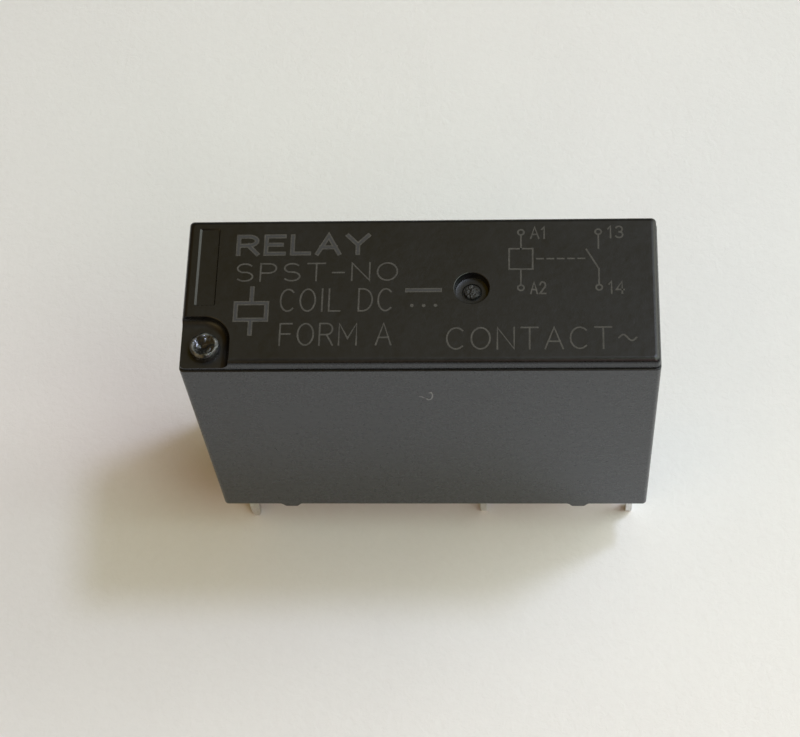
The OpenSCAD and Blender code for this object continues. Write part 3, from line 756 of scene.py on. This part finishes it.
def roof_strokes():
    """What is marked on the roof, as (outlined strokes, plain strokes)."""
    outlined = written("RELAY", -7.86, 1.8, 5.6, 0.86)
    # Coil symbol, with its leads
    coil_x, coil_low, coil_high = -7.14, -1.42, -0.62
    outlined += [rectangle(coil_x - 0.66, coil_low, coil_x + 0.66, coil_high),
                 [(coil_x, 0.1), (coil_x, coil_high)], [(coil_x, coil_low), (coil_x, -2.08)]]
    plain = written("SPST-NO", -7.86, 0.46, 6.9, 0.84)
    plain += written("COIL DC", -5.9, -1.02, 4.75, 1.06)
    plain += written("FORM A", -5.85, -2.64, 4.7, 1.02)
    plain += written("CONTACT~", 1.2, -2.86, 7.9, 1.0)
    # Direct current: a bar over three dots
    outlined.append([(-0.5, -0.04), (0.86, -0.04)])
    plain += [ring(x, -0.78, 0.04, 8) for x in (-0.3, 0.2, 0.7)]
    # Wiring diagram: the coil, and the contact that it works, between their numbered pins
    for x, high, low in ((4.3, "A1", "A2"), (7.6, "13", "14")):
        plain += [ring(x, y, 0.13, 16) for y in (2.76, 0.04)]
        plain += written(high, x + 0.42, 2.46, 0.62, 0.56)
        plain += written(low, x + 0.42, -0.24, 0.62, 0.56)
        plain += [[(x, 2.63), (x, 1.95)], [(x, 0.95), (x, 0.17)]]
    plain += [rectangle(3.8, 0.95, 4.8, 1.95), [(7.6, 0.95), (7.08, 1.9)]]
    plain += [[(x, 1.45), (x + 0.26, 1.45)] for x in (4.98, 5.42, 5.86, 6.30, 6.74)]
    return outlined, plain


def ribbon(points, width, z, verts, faces):
    """Adds a flat ribbon along a line, from height z[0] to z[1], with mitred corners."""
    sharpest, longest = 0.35, 1.6      # where the mitres of tight corners are cut short
    closed = math.dist(points[0], points[-1]) < 1e-6
    line = [Vector(p) for p in (points[:-1] if closed else points)]
    count = len(line)
    first = len(verts)
    for i, p in enumerate(line):
        before = line[(i - 1) % count] if closed or i else None
        after = line[(i + 1) % count] if closed or i < count - 1 else None
        into = (p - before).normalized() if before is not None else (after - p).normalized()
        out = (after - p).normalized() if after is not None else into
        side = Vector((-into.y - out.y, into.x + out.x))
        side *= min(width / 2 / max(side.length ** 2 / 2, sharpest), longest * width)
        end = Vector((0, 0))
        if not closed and i == 0:
            end = -into * width / 2
        if not closed and i == count - 1:
            end = out * width / 2
        for lift in (0, z[1] - z[0]):
            verts += [(*(p + side + end), z[0] + lift), (*(p - side + end), z[0] + lift)]
    for i in range(count if closed else count - 1):
        a, b = first + 4 * i, first + 4 * ((i + 1) % count)
        faces += [[a + 2, a + 3, b + 3, b + 2], [a + 1, a, b, b + 1]]
        faces += [[a, a + 2, b + 2, b], [a + 3, a + 1, b + 1, b + 3]]
    if not closed:
        a, b = first, first + 4 * (count - 1)
        faces += [[a, a + 1, a + 3, a + 2], [b + 1, b, b + 2, b + 3]]


def make_marking():
    """Bleached lines on the roof, and the plain middle of the outlined ones."""
    outlined, plain = roof_strokes()
    sunk = 0.002
    step, cycle = 0.0002, 11      # lines near each other differ in height, so no two tops share a plane
    bleached = marking_material()
    for name, strokes, width, lift, material in (
        ("roof_marking", plain, 0.072, 0.0010, bleached),
        ("roof_marking_bold", outlined, 0.20, 0.0007, bleached),
        ("roof_marking_core", outlined, 0.09, 0.0032, bpy.data.materials["case_plastic"]),
    ):
        verts, faces = [], []
        for i, line in enumerate(strokes):
            ribbon(line, width, (Z_ROOF - sunk, Z_ROOF + lift + step * (i % cycle)), verts, faces)
        place(new_object(name, verts, faces), material)


def make_scuff():
    """A small hooked scuff on the front wall, drawn on the XZ plane as (x, z)."""
    hook = [(0.21, 15.02), (0.30, 14.90), (0.41, 14.98), (0.48, 15.21), (0.49, 15.44),
            (0.44, 15.64), (0.36, 15.58)]
    tail = [(-0.06, 15.24), (0.02, 15.22), (0.10, 15.12)]
    wall = CASE_W / 2
    width, sunk, lift, step = 0.05, 0.002, 0.001, 0.0005
    verts, faces = [], []
    for i, line in enumerate((hook, tail)):
        ribbon(line, width, (wall - sunk, wall + lift + step * i), verts, faces)
    scuff = new_object("front_scuff", verts, faces)
    scuff.data.transform(Matrix.Rotation(math.radians(90), 4, "X"))
    place(scuff, scuff_material())


# ---------------------------------------------------------------- sealing resin

def pin_boxes():
    """Where the four pins come through the resin, as (low x, high x, low y, high y)."""
    rows = []
    for node in ("coil_terminal_front", "coil_terminal_rear", "fixed_terminal", "common_terminal"):
        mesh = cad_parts[node].data
        pin = [v.co / MM for v in mesh.vertices if v.co.z / MM < Z_RIM]
        xs, ys = [p.x for p in pin], [p.y for p in pin]
        rows.append((min(xs), max(xs), min(ys), max(ys)))
    return rows


def spaced(a, b, count):
    """Even steps from a to b, drawn closer together near both ends."""
    bend = 0.98                   # 1 would crowd the ends the most
    places = []
    for i in range(count):
        turn = math.sin(math.pi * (i / (count - 1) - 0.5) * bend)
        places.append((a + b) / 2 + (b - a) / 2 * turn / math.sin(math.pi * bend / 2))
    return places


def make_sealant():
    """Poured resin, seen from below: flat between, and drawn up the walls and round each pin."""
    columns, rows = 220, 76
    low, high = SEALANT_LOW, SEALANT_HIGH
    at_wall, at_pin = (0.16, 0.16), (0.2, 0.15)       # (how high it is drawn, how far out that shows)
    swells = ((0.5, 0.012, 4.0), (1.7, 0.006, 9.0))   # (scale, height, seed)
    pins = pin_boxes()

    def surface(x, y):
        wall = min(x - low.x, high.x - x, y - low.y, high.y - y)
        draw = at_wall[0] * math.exp(-wall / at_wall[1])
        for x0, x1, y0, y1 in pins:
            gap = math.hypot(max(x0 - x, 0, x - x1), max(y0 - y, 0, y - y1))
            draw = max(draw, at_pin[0] * math.exp(-gap / at_pin[1]))
        swell = sum(h * noise.noise(Vector((x * scale, y * scale, seed))) for scale, h, seed in swells)
        return low.z - draw + swell

    xs, ys = spaced(low.x, high.x, columns), spaced(low.y, high.y, rows)
    under = [(x, y, surface(x, y)) for y in ys for x in xs]
    over = [(x, y, high.z) for y in ys for x in xs]
    count = len(under)
    faces = [f[::-1] for f in grid_faces(rows, columns)]
    faces += [[i + count for i in f] for f in grid_faces(rows, columns)]
    last_row = (rows - 1) * columns
    border = list(range(columns))
    border += [r * columns + columns - 1 for r in range(1, rows)]
    border += [last_row + k for k in range(columns - 2, -1, -1)]
    border += [r * columns for r in range(rows - 2, 0, -1)]
    for i, a in enumerate(border):
        b = border[(i + 1) % len(border)]
        faces.append([a, b, b + count, a + count])
    resin = new_object("sealing_resin_fill", under + over, faces)
    resin.data.shade_smooth()
    resin.data.set_sharp_from_angle(angle=math.radians(50))
    place(resin, sealing_material(), ["sealant"])


# ---------------------------------------------------------------- coil

def racetrack(length, width, cx, steps):
    """An outline with two straight sides and two half-round ends, of 2 * (steps + 1) points."""
    r = width / 2
    x = length / 2 - r
    return arc(cx + x, 0, r, r, -90, 90, steps) + arc(cx - x, 0, r, r, 90, 270, steps)


def make_winding():
    """The winding as a thick ring of copper, with a ridge round its outside for every turn."""
    low, high = WINDING_LOW, WINDING_HIGH
    length, width = high.x - low.x, high.y - low.y
    cx = (low.x + high.x) / 2
    wire = 0.075                  # about the pitch of the turns, before it is made to fit
    thickness = 1.21
    groove = 0.035
    steps = 20
    count = 2 * (steps + 1)
    turns = int((high.z - low.z) / wire)
    pitch = (high.z - low.z) / turns
    levels = []
    for i in range(turns):
        # Each is (share of the pitch, how far in from the wire's crest)
        for share, inset in ((0.0, groove), (0.2, 0.010), (0.5, 0.0), (0.8, 0.010)):
            levels.append((low.z + (i + share) * pitch, inset))
    levels.append((high.z, groove))
    verts = []
    for z, inset in levels:
        for x, y in racetrack(length - 2 * inset, width - 2 * inset, cx, steps):
            # As on a helix, a turn climbs by one pitch on its way round
            lean = 0.5 * pitch * math.atan2(y, x - cx) / math.pi
            verts.append((x, y, min(max(z + lean, low.z), high.z)))
    faces = grid_faces(len(levels), count, True)
    inner = racetrack(length - 2 * thickness, width - 2 * thickness, cx, steps)
    for z in (low.z, high.z):
        verts += [(x, y, z) for x, y in inner]
    bottom, top = len(levels) * count, (len(levels) + 1) * count
    last = (len(levels) - 1) * count
    for k in range(count):
        n = (k + 1) % count
        faces += [[n, k, bottom + k, bottom + n], [last + k, last + n, top + n, top + k],
                  [bottom + n, bottom + k, top + k, top + n]]
    coil = new_object("wound_wire", verts, faces)
    coil.data.shade_smooth()
    place(coil, enamel_wire_material(), ["coil_winding"])


def make_tape():
    """The tape round the winding, with slight waves and its outer end lapped on one side."""
    low, high = TAPE_LOW, TAPE_HIGH
    length, width = high.x - low.x, high.y - low.y
    cx = (low.x + high.x) / 2
    rows, steps = 28, 40
    count = 2 * (steps + 1)
    inside_box, thickness = 0.015, 0.05
    lap_h, wave_h, ragged = 0.012, 0.010, 0.03
    lap_end = count // 2 + 22
    lap = range(lap_end - 8, lap_end)
    verts = []
    for outer, inset in ((True, 0.0), (False, thickness)):
        shrink = 2 * inside_box + 2 * inset
        path = racetrack(length - shrink, width - shrink, cx, steps)
        for i in range(rows):
            z = low.z + (high.z - low.z) * i / (rows - 1)
            for k, (x, y) in enumerate(path):
                rise = 0.0
                if outer:
                    rise = wave_h * noise.noise(Vector((x * 0.9, y * 0.9, z * 0.7)))
                if outer and k in lap:
                    rise += lap_h
                out = Vector((x - cx, y)).normalized() * rise
                edge = ragged * noise.noise(Vector((x, y, 3.0))) if i in (0, rows - 1) else 0.0
                verts.append((x + out.x, y + out.y, min(max(z + edge, low.z), high.z)))
    size = rows * count
    end = (rows - 1) * count
    faces = grid_faces(rows, count, True)
    faces += [[i + size for i in f[::-1]] for f in grid_faces(rows, count, True)]
    for k in range(count):
        n = (k + 1) % count
        faces += [[n, k, size + k, size + n], [end + k, end + n, size + end + n, size + end + k]]
    tape = new_object("wrapped_tape", verts, faces)
    tape.data.shade_smooth()
    tape.data.set_sharp_from_angle(angle=math.radians(45))
    place(tape, tape_material(), ["coil_tape"])


# ---------------------------------------------------------------- carried-over CAD nodes

def round_edges(obj, round_mm):
    """Welds a piece's mesh and takes the sharpness off its edges."""
    weld = obj.modifiers.new("weld", "WELD")
    weld.merge_threshold = 1e-7
    if round_mm:
        bevel = obj.modifiers.new("edges", "BEVEL")
        bevel.width = round_mm * MM
        bevel.segments = 2
        bevel.limit_method = "ANGLE"
        bevel.angle_limit = math.radians(35)
        bevel.use_clamp_overlap = True
    step = obj.modifiers.new("normals", "WEIGHTED_NORMAL")
    step.weight = 80


def dress(node, material, round_mm):
    """Gives a CAD node its material and rounds its edges."""
    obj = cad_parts[node]
    obj.data.materials.clear()
    obj.data.materials.append(material)
    round_edges(obj, round_mm)


def split_leaf(bronze):
    """The contact leaf, parted at its clamp: the riveted end stays still and the rest turns."""
    for name, low, high, body in (
        ("contact_leaf", -LEAF_REACH, LEAF_CLAMP, "contact_arm"),
        ("contact_leaf_foot", LEAF_CLAMP + LEAF_CUT, LEAF_REACH, "root"),
    ):
        leaf = bpy.data.objects.new(name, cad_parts["contact_spring"].data.copy())
        SCENE.collection.objects.link(leaf)
        leaf.data.transform(Matrix.Scale(1 / MM, 4))
        weld = leaf.modifiers.new("weld", "WELD")
        weld.merge_threshold = 1e-4
        span = [(low, -LEAF_REACH), (high, -LEAF_REACH), (high, LEAF_REACH), (low, LEAF_REACH)]
        combine(leaf, stack("span", [(span, Z_RIM), (span, Z_ROOF)]), "INTERSECT")
        place(leaf, bronze, ["contact_spring"], body)
        round_edges(leaf, 0.015)


def dress_nodes():
    """Materials and rounded edges, in mm, for the pieces that are shown as the CAD has them."""
    tin = metal("tinned_terminal", (0.60, 0.59, 0.57), (0.76, 0.755, 0.74), 0.30,
                stretch=(1, 1, 0.12), stain=(0.45, 0.40, 0.33))
    bronze = metal("spring_bronze", (0.62, 0.36, 0.16), (0.78, 0.50, 0.27), 0.26,
                   stretch=(0.1, 1, 1), stain=(0.40, 0.20, 0.09))
    iron = metal("plated_iron", (0.46, 0.45, 0.44), (0.62, 0.61, 0.60), 0.34,
                 stretch=(1, 0.2, 0.2), stain=(0.36, 0.33, 0.29), lines=9)
    silver = metal("contact_silver", (0.72, 0.70, 0.66), (0.88, 0.87, 0.84), 0.22,
                   stretch=(1, 1, 1), stain=(0.48, 0.42, 0.34), lines=6)
    solder = metal("solder", (0.62, 0.62, 0.63), (0.80, 0.80, 0.81), 0.20,
                   stretch=(1, 1, 1), stain=(0.42, 0.41, 0.40), lines=4)
    wire = enamel_wire_material()
    card = natural_plastic("card_plastic", (0.50, 0.39, 0.23), (0.62, 0.51, 0.33), 0.45)
    spool = natural_plastic("bobbin_plastic", (0.62, 0.57, 0.47), (0.74, 0.70, 0.60), 0.42)
    for node, material, width in (
        ("base", glass_filled_material(), 0.03),
        ("bobbin", spool, 0.03),
        ("coil_lead_start", wire, 0),
        ("coil_lead_end", wire, 0),
        ("coil_terminal_front", tin, 0.025),
        ("coil_terminal_rear", tin, 0.025),
        ("solder_joints", solder, 0),
        ("core", iron, 0.02),
        ("yoke", iron, 0.04),
        ("armature", iron, 0.03),
        ("hinge_spring", bronze, 0.01),
        ("hinge_spring_rivets", bronze, 0.015),
        ("actuator_card", card, 0.02),
        ("moving_contact", silver, 0.012),
        ("common_terminal", tin, 0.02),
        ("spring_rivets", silver, 0.015),
        ("fixed_terminal", tin, 0.02),
        ("fixed_contact", silver, 0.012),
    ):
        dress(node, material, width)
    split_leaf(bronze)


# ---------------------------------------------------------------- floor, light and camera

def make_floor():
    """White paper under the pins."""
    half = 900
    corners = [(-half, -half, 0), (half, -half, 0), (half, half, 0), (-half, half, 0)]
    floor = new_object("floor", corners, [[0, 1, 2, 3]])
    floor.data.transform(Matrix.Scale(MM, 4))
    floor.data.materials.append(paper_material())


def area_light(name, place_mm, size_mm, power, colour):
    """A round lamp turned to the foot of the object, which doesn't show in the picture itself."""
    light = bpy.data.lights.new(name, "AREA")
    light.shape = "DISK"
    light.size = size_mm * MM
    light.energy = power
    light.color = colour
    obj = bpy.data.objects.new(name, light)
    obj.location = Vector(place_mm) * MM
    obj.rotation_euler = (-Vector(place_mm)).to_track_quat("-Z", "Y").to_euler()
    obj.visible_camera = False
    SCENE.collection.objects.link(obj)


# Broad light from the room: (towards, how narrow it is, colour)
ROOM = [
    ((0, 0.45, 0.89), 16, (0.31, 0.25, 0.0)),
    ((0.6, 0.25, 0.75), 10, (1.59, 1.61, 1.75)),
    ((-0.65, -0.65, 0.35), 10, (1.59, 1.18, 0.59)),
    ((-0.6, 0.15, 0.78), 8, (0.36, 0.18, 0.0)),
    ((0.85, 0.5, 0.2), 14, (2.4, 2.4, 2.1)),
]
# Lamps: (name, where it stands in mm, width in mm, power, colour)
LAMPS = [
    ("window", (255.6, 134.7, 632.1), 90, 1.25, (0.68, 0.75, 1.0)),
    ("lamp_front_right", (90, -60, 150), 120, 0.098, (0.78, 1.0, 0.79)),
    ("lamp_front", (60, -90, 90), 100, 0.034, (1.0, 0.60, 0.72)),
    ("lamp_right", (160, 20, 120), 120, 0.09, (0.87, 1.0, 0.93)),
]


def vector_node(tree, operation, first):
    """A vector maths node with its first input linked."""
    node = tree.nodes.new("ShaderNodeVectorMath")
    node.operation = operation
    tree.links.new(first, node.inputs[0])
    return node


def room_glow(tree, direction, towards, narrow, colour):
    """Light that is strongest from one side and fades with the angle from it."""
    facing = vector_node(tree, "DOT_PRODUCT", direction)
    facing.inputs[1].default_value = towards
    above = tree.nodes.new("ShaderNodeMath")
    above.operation = "MAXIMUM"
    above.inputs[1].default_value = 0
    tree.links.new(facing.outputs["Value"], above.inputs[0])
    power = tree.nodes.new("ShaderNodeMath")
    power.operation = "POWER"
    power.inputs[1].default_value = narrow
    tree.links.new(above.outputs["Value"], power.inputs[0])
    glow = tree.nodes.new("ShaderNodeVectorMath")
    glow.operation = "SCALE"
    glow.inputs[0].default_value = colour
    tree.links.new(power.outputs["Value"], glow.inputs["Scale"])
    return glow.outputs["Vector"]


def make_light():
    """A window high up behind on the right, three weaker lamps and the broad light of a room."""
    world = bpy.data.worlds.new("room")
    SCENE.world = world
    world.use_nodes = True
    tree = world.node_tree
    direction = tree.nodes.new("ShaderNodeTexCoord").outputs["Generated"]
    total = None
    for towards, narrow, colour in ROOM:
        glow = room_glow(tree, direction, Vector(towards).normalized(), narrow, colour)
        if total is not None:
            add = vector_node(tree, "ADD", total)
            tree.links.new(glow, add.inputs[1])
            glow = add.outputs["Vector"]
        total = glow
    tree.links.new(total, tree.nodes["Background"].inputs["Color"])
    for name, stands_at, width, power, colour in LAMPS:
        area_light(name, stands_at, width, power, colour)
    SCENE.view_settings.view_transform = "Standard"


def make_camera():
    """In front, high up and a little to the right, as in the photo."""
    place_mm = Vector((5.0, -42.17, 94.17))
    aim_mm = Vector((-1.33, 0.31, 10.25))
    roll = math.radians(-7.79)
    camera = bpy.data.cameras.new("camera")
    camera.sensor_width = 36
    camera.lens = 92.15
    camera.clip_start = 0.001
    camera.clip_end = 10
    obj = bpy.data.objects.new("camera", camera)
    obj.location = place_mm * MM
    level = (aim_mm - place_mm).to_track_quat("-Z", "Y")
    turn = Matrix.Rotation(roll, 4, "Z").to_quaternion()
    obj.rotation_mode = "QUATERNION"
    obj.rotation_quaternion = level @ turn
    SCENE.collection.objects.link(obj)
    SCENE.camera = obj


make_camera()
make_cover()
make_nib()
make_vestige()
make_marking()
make_scuff()
make_sealant()
make_winding()
make_tape()
dress_nodes()
make_floor()
make_light()
